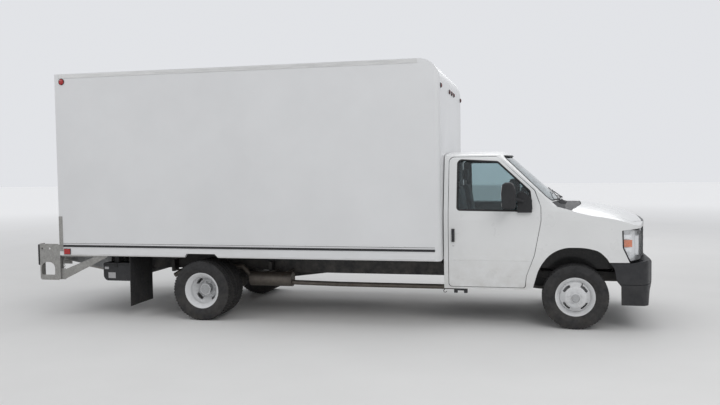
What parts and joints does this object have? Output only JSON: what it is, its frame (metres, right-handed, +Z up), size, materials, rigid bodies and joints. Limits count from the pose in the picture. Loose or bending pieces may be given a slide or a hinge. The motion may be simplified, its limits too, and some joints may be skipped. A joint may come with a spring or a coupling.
{
  "type": "box truck",
  "caption": "Box truck: a van cab and a load box with a curved front edge on one frame, with opening cab doors and bonnet, steering, rolling wheels and a folding tail lift.",
  "frame": {"origin": "on the ground, at the middle of the truck's whole length and width", "axes": "+X to the front of the truck, +Y to the driver's side (left), +Z up"},
  "size_m": [7.6297, 2.584, 3.106],
  "materials": {
    "white_paint": "white paint, slightly dusty",
    "box_panel": "white painted panel",
    "black_plastic": "grained dark plastic",
    "frame_paint": "black frame paint with road dust",
    "galvanised": "galvanised steel",
    "platform_alloy": "dull alloy tread plate",
    "floor_boards": "worn hardwood boards",
    "cab_lining": "grey floor covering",
    "seat_fabric": "grey cloth",
    "steering_grip": "dark grip",
    "glass": "lightly tinted glass",
    "lamp_lens": "clear and coloured lenses",
    "engine_iron": "plain block",
    "wheel_paint": "white steel wheel",
    "tyre": "black rubber",
    "exhaust_steel": "dull weathered steel",
    "rubber": "black rubber"
  },
  "bodies": {
    "chassis": {"cab_shell": "white_paint", "cab_floor": "cab_lining", "seats": "seat_fabric", "dashboard": "black_plastic", "windscreen": "glass", "wings": "white_paint", "cowl_panel": "black_plastic", "grille": "white_paint", "lamps": "lamp_lens", "front_bumper": "black_plastic", "engine_block": "engine_iron", "frame_rails": "frame_paint", "box_floor": "floor_boards", "box_sides": "box_panel", "box_roof": "box_panel", "rear_frame": "box_panel", "rollup_door": "box_panel", "front_axle_beams": "frame_paint", "rear_axle": "frame_paint", "exhaust": "exhaust_steel", "fuel_tank": "frame_paint", "mud_flaps": "rubber", "pump_box": "black_plastic", "rear_steps": "galvanised", "dock_buffers": "rubber"},
    "knuckle_left": {"knuckle_left": "frame_paint"},
    "knuckle_right": {"knuckle_right": "frame_paint"},
    "wheel_front_left": {"rim_front_left": "wheel_paint", "tyre_front_left": "tyre"},
    "wheel_front_right": {"rim_front_right": "wheel_paint", "tyre_front_right": "tyre"},
    "wheels_rear_left": {"rims_rear_left": "wheel_paint", "tyres_rear_left": "tyre"},
    "wheels_rear_right": {"rims_rear_right": "wheel_paint", "tyres_rear_right": "tyre"},
    "door_left": {"door_left": "white_paint", "door_glass_left": "glass", "mirror_left": "black_plastic"},
    "door_right": {"door_right": "white_paint", "door_glass_right": "glass", "mirror_right": "black_plastic"},
    "hood": {"hood": "white_paint"},
    "steering_wheel": {"steering_wheel": "steering_grip"},
    "lift_arms": {"lift_arms": "galvanised"},
    "lift_platform": {"lift_platform": "platform_alloy"}
  },
  "joints": [
    {"name": "steering_left", "type": "hinge", "parent": "chassis", "child": "knuckle_left", "pos_m": [2.945, 0.74, 0.37], "axis": [0, 0, 1], "range_deg": [-32, 32]},
    {"name": "steering_right", "type": "hinge", "parent": "chassis", "child": "knuckle_right", "pos_m": [2.945, -0.74, 0.37], "axis": [0, 0, 1], "range_deg": [-32, 32]},
    {"name": "wheel_front_left", "type": "hinge", "parent": "knuckle_left", "child": "wheel_front_left", "pos_m": [2.945, 0.8815, 0.37], "axis": [0, 1, 0], "continuous": true},
    {"name": "wheel_front_right", "type": "hinge", "parent": "knuckle_right", "child": "wheel_front_right", "pos_m": [2.945, -0.8815, 0.37], "axis": [0, 1, 0], "continuous": true},
    {"name": "wheels_rear_left", "type": "hinge", "parent": "chassis", "child": "wheels_rear_left", "pos_m": [-1.525, 0.987, 0.37], "axis": [0, 1, 0], "continuous": true},
    {"name": "wheels_rear_right", "type": "hinge", "parent": "chassis", "child": "wheels_rear_right", "pos_m": [-1.525, -0.987, 0.37], "axis": [0, 1, 0], "continuous": true},
    {"name": "steering_wheel", "type": "hinge", "parent": "chassis", "child": "steering_wheel", "pos_m": [2.04, 0.43, 1.262], "axis": [-0.6018, 0, 0.7986], "range_deg": [-512, 512]},
    {"name": "door_left", "type": "hinge", "parent": "chassis", "child": "door_left", "pos_m": [2.565, 1.014, 1.2], "axis": [0, 0, -1], "range_deg": [0, 65]},
    {"name": "door_right", "type": "hinge", "parent": "chassis", "child": "door_right", "pos_m": [2.565, -1.014, 1.2], "axis": [0, 0, 1], "range_deg": [0, 65]},
    {"name": "hood", "type": "hinge", "parent": "chassis", "child": "hood", "pos_m": [2.879, 0, 1.412], "axis": [0, -1, 0], "range_deg": [0, 50]},
    {"name": "lift_arms", "type": "hinge", "parent": "chassis", "child": "lift_arms", "pos_m": [-2.775, 0, 0.475], "axis": [0, -1, 0], "range_deg": [0, 38]},
    {"name": "lift_platform", "type": "hinge", "parent": "lift_arms", "child": "lift_platform", "pos_m": [-3.535, 0, 0.585], "axis": [0, -1, 0], "range_deg": [-38, 0]}
  ],
  "couplings": [
    {"joint": "steering_right", "follows": "steering_left", "ratio": 1},
    {"joint": "steering_wheel", "follows": "steering_left", "ratio": 16},
    {"joint": "lift_platform", "follows": "lift_arms", "ratio": -1}
  ]
}
